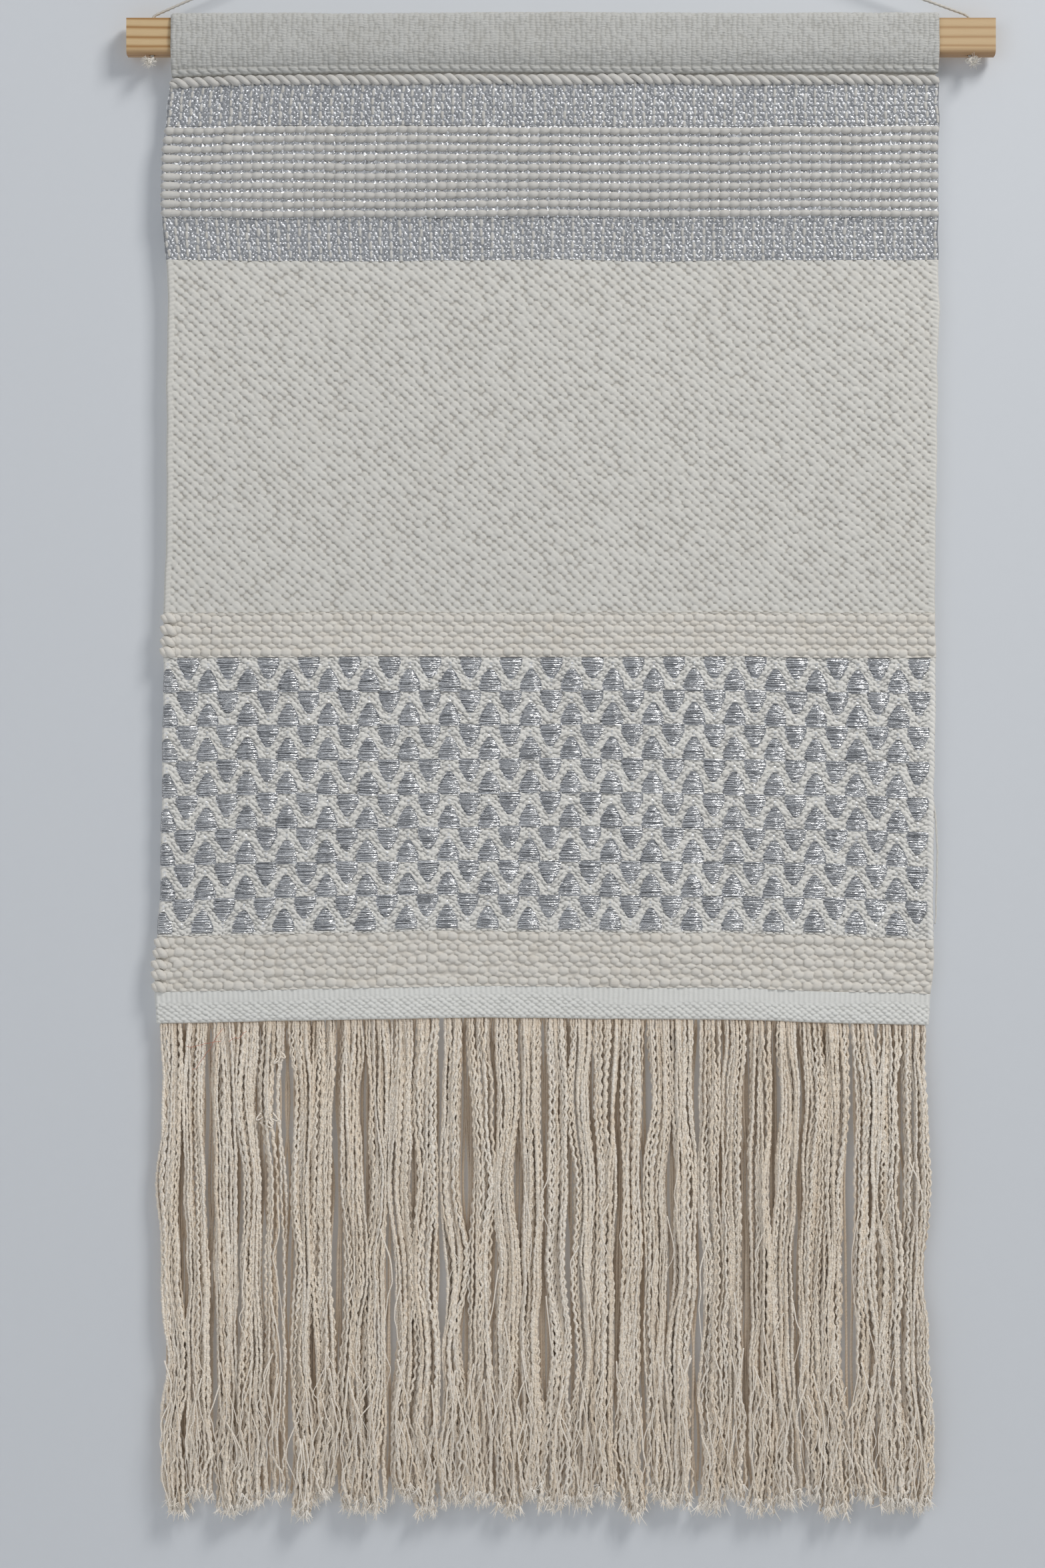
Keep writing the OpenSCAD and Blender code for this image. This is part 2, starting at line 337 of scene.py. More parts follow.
FLAT_WISE, DOWN_WISE, EVEN = (0.22, 1.0, 1.2), (1.2, 1.0, 0.2), (1, 1, 1)
WHITE = yarn_material("white_cotton", (0.558, 0.557, 0.536), (0.50, 0.49, 0.455), (0.26, 0.25, 0.22),
                      FLAT_WISE, weft=204.0, mottle=0.55)
HEM = yarn_material("hem_cotton", (0.79, 0.79, 0.76), (0.72, 0.71, 0.67), (0.36, 0.35, 0.32), FLAT_WISE,
                    mottle=0.3)
CREAM = yarn_material("cream_cotton", (0.70, 0.686, 0.643), (0.635, 0.61, 0.553), (0.30, 0.27, 0.23),
                      FLAT_WISE, mottle=0.3)
ROVING = yarn_material("cream_roving", (0.735, 0.705, 0.65), (0.69, 0.635, 0.55), (0.36, 0.32, 0.27),
                       FLAT_WISE)
RIBS = yarn_material("rib_roving", (0.61, 0.595, 0.565), (0.54, 0.515, 0.475), (0.33, 0.31, 0.29),
                     FLAT_WISE)
MIXED = yarn_material("silver_and_cream", (0.80, 0.785, 0.745), (0.66, 0.63, 0.57), (0.20, 0.20, 0.205),
                      FLAT_WISE, silver=True)
WARM = yarn_material("fringe_cotton", (0.96, 0.865, 0.74), (0.78, 0.625, 0.455), (0.33, 0.21, 0.11),
                     DOWN_WISE, plied=True, tip=(1.0, 0.97, 0.92))
TWINE = yarn_material("twine", (0.60, 0.57, 0.52), (0.48, 0.42, 0.34), (0.22, 0.19, 0.15), EVEN)
LINT = yarn_material("red_lint", (0.62, 0.22, 0.14), (0.50, 0.16, 0.10), (0.25, 0.08, 0.05), EVEN)
SILVER = silver_material()
PINE = pine_material()


# ---- strands

def unit(v):
    return v / np.maximum(np.linalg.norm(v, axis=-1, keepdims=True), 1e-12)


def strand(path, radius, sides=6, lobes=0.0, turns=0.0, flat=1.0):
    """Rings of a yarn round a path that faces the front; lobes and turns give it two plies."""
    path = np.asarray(path, float)
    along = unit(np.gradient(path, axis=0))
    side = unit(np.cross(along, np.array([0, 1.0, 0])))
    out = np.cross(side, along)
    k = np.arange(sides) * TURN / sides
    angle = k[None, :] + np.broadcast_to(turns, len(path))[:, None]
    shape = 1 + lobes * np.cos(2 * k)
    ring = np.broadcast_to(radius, len(path))[:, None] * shape[None, :]
    verts = (path[:, None] + (ring * np.cos(angle))[..., None] * side[:, None]
             + (ring * np.sin(angle) * flat)[..., None] * out[:, None])
    return verts.reshape(-1, 3)


def skin(rings, sides, first):
    i, k = grid(np.arange(rings - 1), np.arange(sides))
    n = (k + 1) % sides
    a, b, c, d = i * sides + k, (i + 1) * sides + k, (i + 1) * sides + n, i * sides + n
    return np.stack([a, b, c, d], -1).reshape(-1, 4) + first


class Yarns:
    """Gathers strands into one mesh."""

    def __init__(self, sides=6):
        self.sides, self.count = sides, 0
        self.verts, self.quads, self.caps = [], [], []
        self.marks = {"tone": [], "gap": [], "twist": []}

    def add(self, path, radius, tone=0.0, gap=0.0, ply=None, **shape):
        rings, ring = len(path), np.arange(self.sides)
        self.verts.append(strand(path, radius, self.sides, **shape))
        self.quads.append(skin(rings, self.sides, self.count))
        self.caps.append(np.stack([self.count + ring, self.count + rings * self.sides - 1 - ring]))
        twist = np.zeros((rings, self.sides))
        if ply is not None:
            twist += np.asarray(ply)[:, None] + 1.3 * np.cos(ring * TURN / self.sides)
        for key, value in (("tone", tone), ("gap", gap)):
            self.marks[key].append(np.repeat(np.broadcast_to(value, rings), self.sides))
        self.marks["twist"].append(twist.ravel())
        self.count += rings * self.sides

    def build(self, name, material):
        faces = [np.concatenate(self.quads), np.concatenate(self.caps)]
        attrs = {key: np.concatenate(parts) for key, parts in self.marks.items()}
        return make_mesh(name, np.concatenate(self.verts), faces, attrs, material)


# ---- the cord and its knots

CORD_D, NAIL_R = 0.0018, 0.002
HOLE_LEFT, HOLE_RIGHT, SLAT_TOP, SLAT_H = -0.214, 0.262, -0.095, 0.021


def cord_route():
    """From inside the left hole, straight to the nail, over it, and down into the right hole."""
    bend = NAIL_R + CORD_D / 2
    rise = -SLAT_TOP - 0.003
    slopes = math.atan2(rise, -HOLE_LEFT), math.atan2(rise, HOLE_RIGHT)
    angles = np.linspace(math.pi / 2 + slopes[0], math.pi / 2 - slopes[1], 9)
    over = np.stack([bend * np.cos(angles), -NAIL_R + bend * np.sin(angles)], -1)
    mouth = np.array([[0.0, -0.0040], [0.0, -0.0015], [0.0004, 0.0006], [0.0016, 0.0023],
                      [0.0038, 0.0034]])
    left = mouth + (HOLE_LEFT, SLAT_TOP)
    right = (mouth * (-1, 1) + (HOLE_RIGHT, SLAT_TOP))[::-1]
    steps = np.linspace(0, 1, 40)[1:-1, None]
    first = left[-1] + (over[0] - left[-1]) * steps
    last = over[-1] + (right[0] - over[-1]) * steps
    flat = np.concatenate([left, first, over, last, right])
    return np.stack([flat[:, 0], np.zeros(len(flat)), flat[:, 1]], -1)


def resample(path, step):
    """Points at an even spacing along a path."""
    run = np.concatenate([[0], np.cumsum(np.linalg.norm(np.diff(path, axis=0), axis=1))])
    at = np.linspace(0, run[-1], int(run[-1] / step) + 2)
    return np.stack([np.interp(at, run, path[:, k]) for k in range(3)], -1), at


def fray(yarns, root, heading, rng, count, length, radius, spread):
    """Short loose fibres that fan out from a yarn's end."""
    for _ in range(count):
        t = np.linspace(0, 1, 6)[:, None]
        aim = unit(np.array(heading) + rng.normal(0, spread, 3))
        curl = rng.normal(0, 0.25, 3)
        reach = length * rng.uniform(0.6, 1.2)
        path = root + reach * (aim * t + curl * t * t)
        yarns.add(path, radius * (1 - 0.7 * t[:, 0]), tone=rng.uniform(1.0, 2.6), ply=1.5 + 0 * t[:, 0])


def hanging_cord():
    route = cord_route()
    path, at = resample(route, 0.0008)
    cord = Yarns(8)
    cord.add(path, CORD_D / 2 * 0.93, tone=0.5 * ripple(at, 0.01, 3), lobes=0.16, turns=at * TURN / 0.0062)
    obj = cord.build("hanging_cord_twine", TWINE)
    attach(obj, "cord")
    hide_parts("hanging_cord")
    knots = [cord_knot("left_cord_knot", HOLE_LEFT, -1, 21), cord_knot("right_cord_knot", HOLE_RIGHT, 1, 22)]


def cord_knot(node, hole, lean, seed):
    """An overhand knot under the hole, with its frayed end flicked out to the front."""
    rng = dice(2, seed)
    centre = np.array([hole, 0, SLAT_TOP - SLAT_H - 0.0027])
    knot = Yarns(8)
    rise = np.linspace(0, 1, 24)
    start, drop = SLAT_TOP - 0.005, centre[2] + 0.002 - SLAT_TOP + 0.005
    neck = np.stack([hole + 0 * rise, 0 * rise, start + drop * rise], -1)
    knot.add(neck, CORD_D / 2, lobes=0.16, turns=rise * 20)
    t = np.linspace(0, TURN, 70)
    loop = np.stack([np.sin(t) + 1.6 * np.sin(2 * t), np.cos(t) - 1.6 * np.cos(2 * t),
                     -1.1 * np.sin(3 * t)], -1) * 0.00078
    knot.add(centre + loop, CORD_D / 2 * 0.95, tone=0.6, lobes=0.16, turns=t * 4)
    ends = unit(np.array([[lean * 0.8, -1.0, -0.25], [lean * 0.25, -1.0, -0.5], [lean * 0.7, -0.9, 0.25]]))
    for aim in ends:
        t = np.linspace(0, 1, 12)[:, None]
        path = centre + aim * (0.0012 + 0.0032 * t) + np.array([0, 0, -0.0012]) * t * t
        knot.add(path, CORD_D / 2 * (0.85 - 0.15 * t[:, 0]), tone=0.7, lobes=0.15, turns=t[:, 0] * 6)
        fray(knot, path[-1] - aim * 0.0012, aim, rng, 24, 0.0038, 0.00022, 0.45)
    obj = knot.build(node + "_frayed", ROVING)
    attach(obj, "slat")
    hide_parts(node)
    return obj


hanging_cord()


# ---- the cloth's own shape

PITCH = 5.86 * MM
top_box, hem_box = box("braided_row"), box("bottom_hem")
CLOTH_TOP, CLOTH_LOW = top_box[1][2], hem_box[0][2]
MID_TOP, MID_LOW = (top_box[0][0] + top_box[1][0]) / 2, (hem_box[0][0] + hem_box[1][0]) / 2
HALF = (top_box[1][0] - top_box[0][0]) / 2

# How far each selvedge stands out past the straight edge, in mm, at some heights in metres.
EDGE_Z = [-0.70, -0.677, -0.660, -0.640, -0.60, -0.47, -0.40, -0.26, -0.235, -0.20, -0.17, -0.150, -0.12]
EDGE_LEFT = [0.6, 0.6, 1.6, 2.2, -0.4, -0.6, -1.0, -0.8, 0.4, 3.4, 3.4, 1.2, -1.0]
EDGE_RIGHT = [-0.4, -0.4, 1.0, 2.4, 2.0, 1.2, 0.6, 0.6, -0.2, -0.4, -0.4, -0.6, -1.0]


def middle(z):
    return MID_TOP + (MID_LOW - MID_TOP) * (CLOTH_TOP - z) / (CLOTH_TOP - CLOTH_LOW)


def settle(s, z, out):
    """Places a point of the flat cloth: s from its middle, z its height, out towards the front."""
    left = np.interp(z, EDGE_Z, EDGE_LEFT) + 0.45 * ripple(z, 0.011, 5)
    right = np.interp(z, EDGE_Z, EDGE_RIGHT) + 0.45 * ripple(z, 0.011, 6)
    grow = np.where(s < 0, left, right) * MM / HALF
    x = middle(z) + s * (1 + grow) + 0.3 * MM * noise(s, z, 0.03, 7)
    free = smooth((CLOTH_TOP - z) / 0.12)
    wave = 0.7 * MM * noise(s, z, 0.055, 8) + 0.25 * MM * noise(s, z, 0.017, 9)
    ends = np.where(s < 0, 3.6, 5.2) * (s / HALF) ** 2
    hang = (0.3 - ends) * MM * smooth((-0.42 - z) / 0.24)
    sag = -2.2 * MM * np.exp(-(s + HALF) / 0.035) * bell(z - CLOTH_TOP, 0.02)
    fall = (1.5 * MM * noise(s, z * 0.35, 0.11, 10) + 0.4 * MM * noise(s, z, 0.04, 11)) * free
    return np.stack([x, fall - out, z + wave + hang + sag], -1)


def domes(s, z, pitch, row, rx, rz, seed, power=2.0, slant=0.0, stagger=0.5, jitter=0.08, lip=0.0):
    """Yarn humps on a lattice: the height from 0 to 1, and a shade from -1 to 1 for each hump."""
    table = dice(3, seed).random((4, 211, 223))
    best, tone = np.zeros_like(s), np.zeros_like(s)
    base = np.floor(z / row).astype(int)
    for step in (-1, 0, 1):
        r = base + step
        off = (r % 2) * stagger * pitch
        c = np.round((s - off) / pitch).astype(int)
        pick = table[:, r % 211, c % 223]
        du = s - c * pitch - off - (pick[0] - 0.5) * jitter * pitch
        dv = z - (r + 0.5) * row - (pick[1] - 0.5) * jitter * row * 1.5 + slant * du
        size = 1 + (pick[2] - 0.5) * jitter * 2.5
        q = (np.abs(du) / (rx * size)) ** power + (np.abs(dv) / (rz * size)) ** power
        h = np.sqrt(clip(1 - q)) * size * (1 - lip * dv / rz)
        win = h > best
        best, tone = np.where(win, h, best), np.where(win, pick[3] * 2 - 1, tone)
    return best, tone


def edge_loops(s, z, row, seed, reach=0.0045, slant=0.35):
    """The turns of the weft round a selvedge, and how much they count at each point."""
    inner = HALF - reach
    h, tone = domes(np.abs(s) - inner - reach * 0.55, z, 1.0, row, reach * 0.75, row * 0.56, seed,
                    power=2.4, slant=slant, stagger=0, jitter=0.0)
    return h, tone, smooth((np.abs(s) - inner) / 0.0012)


def round_off(s, depth):
    """Lets the cloth's two faces meet in a rounded selvedge."""
    t = clip((np.abs(s) - (HALF - 0.0016)) / 0.0016)
    return depth * np.sqrt(1 - t ** 2) + 0.0001


def rim(front, back, flip):
    """Joins an edge of 2n-1 points to one of n points."""
    tri = np.stack([back[:-1], front[0:-2:2], front[1:-1:2]], -1)
    quad = np.stack([back[:-1], front[1:-1:2], front[2::2], back[1:]], -1)
    return (tri[:, ::-1], quad[:, ::-1]) if flip else (tri, quad)


def shell(name, sides, material):
    """A closed sheet from a fine front grid and a back grid of half its resolution. Each side is its points,
    and then their tone, painted shade and, in some cloths, silver."""
    (front, *marks), (back, *_) = sides
    attrs = {key: np.concatenate([np.broadcast_to(side[k], side[0].shape[:2]).ravel() for side in sides])
             for k, key in enumerate(("tone", "gap", "silver")[:len(marks)], 1)}
    rows, cols = front.shape[:2]
    brows, bcols = back.shape[:2]
    f = np.arange(rows * cols).reshape(rows, cols)
    b = np.arange(brows * bcols).reshape(brows, bcols) + rows * cols
    quads = [np.stack([f[:-1, :-1], f[1:, :-1], f[1:, 1:], f[:-1, 1:]], -1).reshape(-1, 4),
             np.stack([b[:-1, :-1], b[:-1, 1:], b[1:, 1:], b[1:, :-1]], -1).reshape(-1, 4)]
    tris = []
    for fe, be, flip in ((f[0], b[0], False), (f[-1], b[-1], True),
                         (f[:, 0], b[:, 0], True), (f[:, -1], b[:, -1], False)):
        tri, quad = rim(fe, be, flip)
        tris.append(tri)
        quads.append(quad)
    verts = np.concatenate([front.reshape(-1, 3), back.reshape(-1, 3)])
    uv = np.concatenate([sheet_uv(rows, cols, 0.0, 0.64), sheet_uv(brows, bcols, 0.66, 1.0)])
    return make_mesh(name, verts, [np.concatenate(quads), np.concatenate(tris)], attrs, material, uv)


def sheet_uv(rows, cols, low, high):
    v, u = grid(np.linspace(high, low, rows), np.linspace(0, 1, cols))
    return np.stack([u, v], -1).reshape(-1, 2)


def woven(name, node, relief, material, step_x, step_z, raised):
    """A band of cloth between the top and the foot of its CAD node, with relief on both faces."""
    low, high = box(node)
    top, foot = high[2] + raised, low[2]
    cols = int(round(HALF / step_x)) * 2 + 1
    rows = int(round((top - foot) / step_z / 2)) * 2 + 1
    sides = []
    for k, face in enumerate((1, -1)):
        z, s = grid(np.linspace(top, foot, rows // (k + 1) + k),
                    np.linspace(-HALF, HALF, cols // (k + 1) + k))
        depth, tone, gap, silver = relief(s + k * PITCH / 2, z)
        sides.append((settle(s, z, round_off(s, depth) * face), tone, gap, silver))
    return shell(name, sides, material)


def plain_relief(s, z):
    """Soft oval humps in brick order, a little slanted, each tucked under the one above."""
    s2 = s + 0.8 * MM * noise(s, z, 0.05, 12) + 0.2 * MM * noise(s, z, 0.012, 11)
    z2 = z + 0.3 * MM * noise(s, z, 0.025, 13)
    h, tone = domes(s2, z2, PITCH, 2.6 * MM, 2.35 * MM, 2.15 * MM, 14, power=2.1, slant=0.05,
                    jitter=0.14, lip=0.22)
    eh, etone, edge = edge_loops(s, z, 2.6 * MM, 15)
    h = h * (1 - edge) + eh * edge
    tone = np.where(edge > 0.5, etone * 0.5 + 0.3, tone)
    # painted shade in the hollows between the humps
    gap = clip(1 - h * 1.8)
    return 0.0005 + 0.0010 * h, tone * 0.6, gap * 0.62, s * 0


def silver_relief(s, z):
    """Columns of cream dashes, columns of foil flecks brightened as painted glints, and grey-blue silver
    floats between.
    """
    z2 = z + 0.25 * MM * noise(s, z, 0.02, 16)
    s2 = s + 0.3 * MM * noise(s, z, 0.02, 17)
    cream, tone = domes(z2, s2 - PITCH / 2, 5.2 * MM, PITCH, 2.25 * MM, 0.82 * MM, 18, power=2.6,
                        jitter=0.12)
    flash, ftone = domes(s2 - PITCH / 2, z2, PITCH, 1.3 * MM, 0.5 * MM, 0.55 * MM, 19, stagger=0.08,
                         jitter=0.4)
    floats, gtone = domes(s2 - PITCH / 4, z2, PITCH / 2, 2.6 * MM, 1.15 * MM, 1.35 * MM, 20, power=2.8)
    wins = cream > 0.12
    h = np.maximum(np.maximum(cream, 0.9 * flash), 0.6 * floats)
    # painted glint: the foil flecks get a high tone; the floats get a low one
    shine = np.where(flash > 0.3, 0.3 + 0.45 * ftone, 0.3 * gtone - 0.45)
    # painted shade between the raised parts; on the cream dashes it also dulls their own colour
    gap = np.maximum(clip(1 - h * 2.6) * 0.6, 0.34 * wins)
    return 0.0006 + 0.0009 * h, np.where(wins, tone * 0.5 - 0.8, shine), gap, np.where(wins, 0.0, 1.0)


def rib_ground(s, z):
    """Fine silver ground under the thick ribs, with a fleck every half pitch brightened as a painted glint.
    """
    h, tone = domes(s, z, PITCH / 2, 2.7 * MM, 0.75 * MM, 1.25 * MM, 23, power=2.2, stagger=0, jitter=0.3)
    # painted glint: the raised flecks get a high tone
    shine = np.where((h > 0.4) & (tone > -0.2), 0.9, 0.1)
    # painted shade in the hollows
    gap = clip(1 - h * 2.0) * 0.2
    return 0.0006 + 0.0009 * h, shine, gap, s * 0 + 1.0


def height(node):
    low, high = box(node)
    return high[2] - low[2]


def thick_relief(node, rows, seed, rough):
    """Rows of big soft beads that nearly touch, with rows of small humps between, half a step aside."""
    top, pitch = box(node)[1][2], height(node) / rows

    def relief(s, z):
        s2 = s + 0.5 * MM * noise(s, z, 0.025, seed) * rough
        z2 = (z - top) + 0.35 * MM * noise(s, z, 0.018, seed + 1) * rough
        big, tone = domes(s2, z2, PITCH, pitch, 3.05 * MM, 2.3 * MM, seed + 2, power=2.5, stagger=0,
                          jitter=0.10 * rough)
        small, stone = domes(s2 - PITCH / 2, z2 - pitch / 2, PITCH, pitch, 2.5 * MM, 1.45 * MM, seed + 3,
                             power=2.0, stagger=0, jitter=0.12 * rough, lip=0.2)
        slub = clip(noise(s, z, 0.011, seed + 5) - 0.55) * rough
        h = np.maximum(np.maximum(1.95 * big, 1.55 * small), 0.35) + 0.8 * slub
        tone = np.where(1.95 * big > 1.55 * small, tone, stone - 0.1)
        h = h * (1 - 0.8 * smooth((-HALF + 0.0075 - s) / 0.0015))
        # painted shade in the hollows between the beads
        gap = clip(1 - h / 0.8) * 0.6
        return 0.0007 + MM * h, tone * 0.8, gap, s * 0
    return relief


def edge_bulbs(node, rows, seed):
    """Fat twisted turns of roving round the left selvedge, one for each row of beads."""
    rng = dice(7, seed)
    top, pitch = box(node)[1][2], height(node) / rows
    bulbs = Yarns(10)
    t = np.linspace(-1, 1, 26)
    body = np.clip(1 - np.abs(t) ** 2.4, 0.03, 1) ** 0.5
    for k in range(rows):
        z0 = top - (k + 0.5 + rng.uniform(-0.06, 0.06)) * pitch
        reach = rng.uniform(4.4, 5.2) * MM
        s = -HALF + 3.1 * MM + reach * t + rng.uniform(-0.4, 0.5) * MM
        z = z0 - rng.uniform(0.3, 1.0) * MM * t
        fat = rng.uniform(0.33, 0.37) * pitch * body
        first, tone = rng.uniform(0.2, 1.4), rng.uniform(-0.2, 0.9)
        for ply in range(2):
            turn = first + ply * math.pi - 3.6 * t
            path = settle(s, z + 0.55 * fat * np.sin(turn), 0.9 * MM * body + 0.6 * fat * np.cos(turn))
            # painted shade towards the ends of each bulb, where it tucks into the cloth
            bulbs.add(path, fat * 1.02, tone=tone + rng.uniform(-0.2, 0.2), gap=0.3 * (1 - body))
    obj = bulbs.build(node + "_edge", ROVING)
    dress(obj, "panel", "cream_roving")
    return obj


def hem_relief(s, z):
    """Fine white weave: faint upright ribs above, staggered dashes below, a rounded lower edge."""
    top, foot = hem_box[1][2], hem_box[0][2]
    lower = smooth((top - 0.0045 - z) / 0.005 + 0.8 * noise(s, z, 0.05, 30))
    dash, tone = domes(s + 0.5 * MM * noise(s, z, 0.02, 34), z + 0.2 * MM * noise(s, z, 0.03, 33),
                       4.35 * MM, 1.67 * MM, 1.8 * MM, 1.1 * MM, 31, jitter=0.12, lip=0.15)
    ribs = 0.5 + 0.5 * np.cos(TURN * s / (PITCH / 2) + noise(s, z, 0.02, 32))
    h = dash * lower + (0.45 + 0.55 * ribs) * (1 - lower)
    # painted shade between the dashes and between the ribs
    gap = clip(1 - dash * 1.8) * lower * 0.42 + 0.12 * (1 - ribs) * (1 - lower)
    roll = np.sqrt(clip(1 - clip((foot + 0.0022 - z) / 0.0022) ** 2))
    return (0.0010 + 0.0007 * h) * roll + 0.0002, tone * 0.5, gap, s * 0


# ---- the zigzag band

zig_box = box("zigzag_band")
ZIG_TOP, ZIG_LOW = zig_box[1][2], zig_box[0][2]
ZIG_STEP, ZIG_LINES, ZIG_POINTS = 19.8 * MM, 8, 19
ZIG_PITCH, ZIG_SHIFT = 23.6 * MM, 2.4 * MM
TRI_H, TRI_HALF = 12.9 * MM, 6.6 * MM
TRI_SHAPE = [0.0, 0.12, 0.35, 0.55, 0.8, 1.0], [0.92, 1.0, 0.95, 0.78, 0.50, 0.2]


def triangle_width(rise, tall):
    return TRI_HALF * np.interp(rise / tall, *TRI_SHAPE)


def triangles():
    """Each silver triangle: its middle, its base line, and +1 if it stands or -1 if it hangs."""
    found = []
    at = lambda i, count: ZIG_SHIFT + (i - (count - 1) / 2) * ZIG_PITCH
    for line in range(ZIG_LINES + 1):
        z = ZIG_TOP - line * ZIG_STEP - ((line == 0) - (line == ZIG_LINES)) * 0.8 * MM
        if line > 0:
            found += [(at(i, ZIG_POINTS - 1), z, 1) for i in range(-1, ZIG_POINTS - 1)]
        if line < ZIG_LINES:
            found += [(at(i, ZIG_POINTS), z, -1) for i in range(ZIG_POINTS)]
    return found


def lattice(s, z):
    """The triangles near each point, standing and hanging: the numbers of their base line and of
    their place on it, and how far the point is from their middle and above their base."""
    line = np.clip(np.round((ZIG_TOP - z) / ZIG_STEP), 0, ZIG_LINES)
    for stands in (1, 0):
        off = stands * ZIG_PITCH / 2
        place = np.round((s - off) / ZIG_PITCH)
        du = np.abs(s - off - place * ZIG_PITCH)
        for n in (line - 1, line, line + 1):
            yield stands, n, place, du, (z - (ZIG_TOP - n * ZIG_STEP)) * (1 if stands else -1)


def silver_parts(s, z):
    """How far inside a silver triangle a point is, from 0 outside to 1 on its middle line, and how
    much it lies on one of the little flecks that carry on in line past each triangle's point."""
    mask, specks = np.zeros_like(s), np.zeros_like(s)
    for stands, n, place, du, rise in lattice(s, z):
        ok = (n >= stands) & (n < ZIG_LINES + stands) & (place < ZIG_POINTS / 2 - stands)
        ok &= np.abs(place + 0.5 * stands) < ZIG_POINTS / 2 + 0.1 * stands
        wide = triangle_width(rise, TRI_H)
        ok &= (rise > -0.3 * MM) & (rise < TRI_H) & (du < wide)
        mask = np.maximum(mask, np.where(ok, 1 - du / np.maximum(wide, 1e-6), 0))
        for past in (1.3 * MM, 3.2 * MM):
            q = (du / (0.75 * MM)) ** 2 + ((rise - TRI_H - past) / (0.55 * MM)) ** 2
            specks = np.maximum(specks, clip(1 - q))
    return mask, specks


def zigzag_relief(s, z):
    """Small cream ovals in brick order, sunk where silver floats, and silver specks past each point."""
    from_peak = s - ZIG_SHIFT - ZIG_PITCH / 2
    peak = np.abs(from_peak - np.round(from_peak / ZIG_PITCH) * ZIG_PITCH)
    s2 = s + 0.5 * MM * noise(s, z, 0.02, 40)
    z2 = z + 0.33 * np.sqrt(peak ** 2 + (2 * MM) ** 2) + 0.3 * MM * noise(s, z, 0.012, 41)
    h, tone = domes(s2, z2, ZIG_PITCH / 6, 1.68 * MM, 1.85 * MM, 1.0 * MM, 42, power=2.2, jitter=0.2)
    eh, etone, edge = edge_loops(s, z, 3.1 * MM, 43, reach=0.0042, slant=0.6)
    h = h * (1 - edge) + eh * edge
    mask, specks = silver_parts(s - ZIG_SHIFT, z)
    dip = smooth(mask * 3)
    fringe = (edge > 0.5) & (eh < 0.55) & (etone > -0.4)
    silver = np.where((mask > 0.02) | fringe | (specks > 0.1), 1.0, 0.0)
    shine = np.where(specks > 0.1, 0.7, np.where(fringe, 0.35, -0.55))
    # painted shade in the hollows between the ovals, less where the silver floats lie
    gap = clip(1 - h * 2.0) * 0.6
    depth = 0.0006 + 0.0012 * h * (1 - 0.8 * dip)
    return depth, np.where(silver > 0.5, shine, tone * 0.6), gap * (1 - dip * 0.5), silver


def silver_floats():
    """The silver weft: level threads that float in front, shorter towards each triangle's point."""
    rng = dice(4, 1)
    threads = Yarns(5)
    pitch = 0.6 * MM
    for mid, line, up in triangles():
        tall = TRI_H - (1.8 * MM if min(abs(line - ZIG_TOP), abs(line - ZIG_LOW)) < 2 * MM else 0)
        tall *= rng.uniform(0.92, 1.06)
        bulge, shear, lean = rng.uniform(0.85, 1.3), rng.uniform(-0.25, 0.15), rng.normal(0, 0.4) * MM
        for k in range(int(tall / pitch)):
            rise = (k + 0.4) * pitch - 0.4 * MM
            wide = triangle_width(max(rise, 0), tall) * rng.uniform(0.9, 1.12) + 0.3 * MM
            silver_float(threads, rng, mid + lean * rise / tall, line + up * rise, wide, bulge, shear)
    obj = threads.build("silver_zigzag_threads", SILVER)
    dress(obj, "panel", "silver_thread", "silver_zigzags")
    return obj


def silver_float(threads, rng, mid, level, wide, bulge, shear):
    """One silver thread that arches over the cloth; a few are slack, and hang lower and wider. Its tone
    carries a painted highlight on its right half, painted glints at random points, and painted shade on a
    quarter of the threads.
    """
    t = np.linspace(-1, 1, 11)
    loose = rng.random() < 0.16
    s = mid + wide * (1.18 if loose else 1.0) * t + rng.normal(0, 0.2 * MM)
    s = np.clip(s, 0.3 * MM * t - HALF + 0.9 * MM, HALF - 0.9 * MM + 0.3 * MM * t)
    z = level + (rng.normal(0, 0.12) + shear * t + rng.normal(0, 0.16) * t
                 - (0.4 if loose else 0.1) * (1 - t * t) * rng.uniform(0, 1)) * MM
    arch = (1 - t ** 2) ** 0.75
    # painted highlight: the right half of each thread is brightened, as if it faced the light
    painted_highlight = 1.3 * smooth((t - 0.05) / 0.5) - 0.4
    full = 0.5 + 0.5 * wide / TRI_HALF
    out = (0.75 + (1.15 * bulge * full + rng.normal(0, 0.16)) * arch) * MM
    # painted glints: random bright points, more of them on the right half
    painted_glints = 1.3 * (rng.random(len(t)) < 0.1 + 0.2 * smooth((t + 0.1) / 0.5))
    # a quarter of the threads are darkened as painted shade between threads; the rest vary at random
    tone = rng.choice([-0.9, 0.0, 0.0, 0.3]) + rng.normal(0, 0.2)
    tone = tone + painted_highlight * rng.uniform(0.4, 1.0) + painted_glints
    threads.add(settle(s, z, out), 0.33 * MM * (0.75 + 0.25 * arch), tone=tone, flat=0.8)


def loose_thread():
    """A pulled end of cream weft that hangs down beside the right selvedge."""
    u = np.linspace(0, 1, 60)
    z = -0.546 - 0.071 * u
    s = HALF + (-0.8 + 3.0 * np.sin(math.pi * u * 0.85) + 0.5 * ripple(u, 0.13, 44)) * MM
    thread = Yarns(7)
    thread.add(settle(s, z, 0.3 * MM + 0.8 * MM * u), 0.62 * MM * (1 - 0.35 * u ** 3), lobes=0.15,
               turns=u * 50)
    obj = thread.build("loose_selvedge_thread", CREAM)
    dress(obj, "panel", "cream_cotton")
    return obj


# ---- ribs and braid

RIB_ROWS, SLUB = 10, 0.004


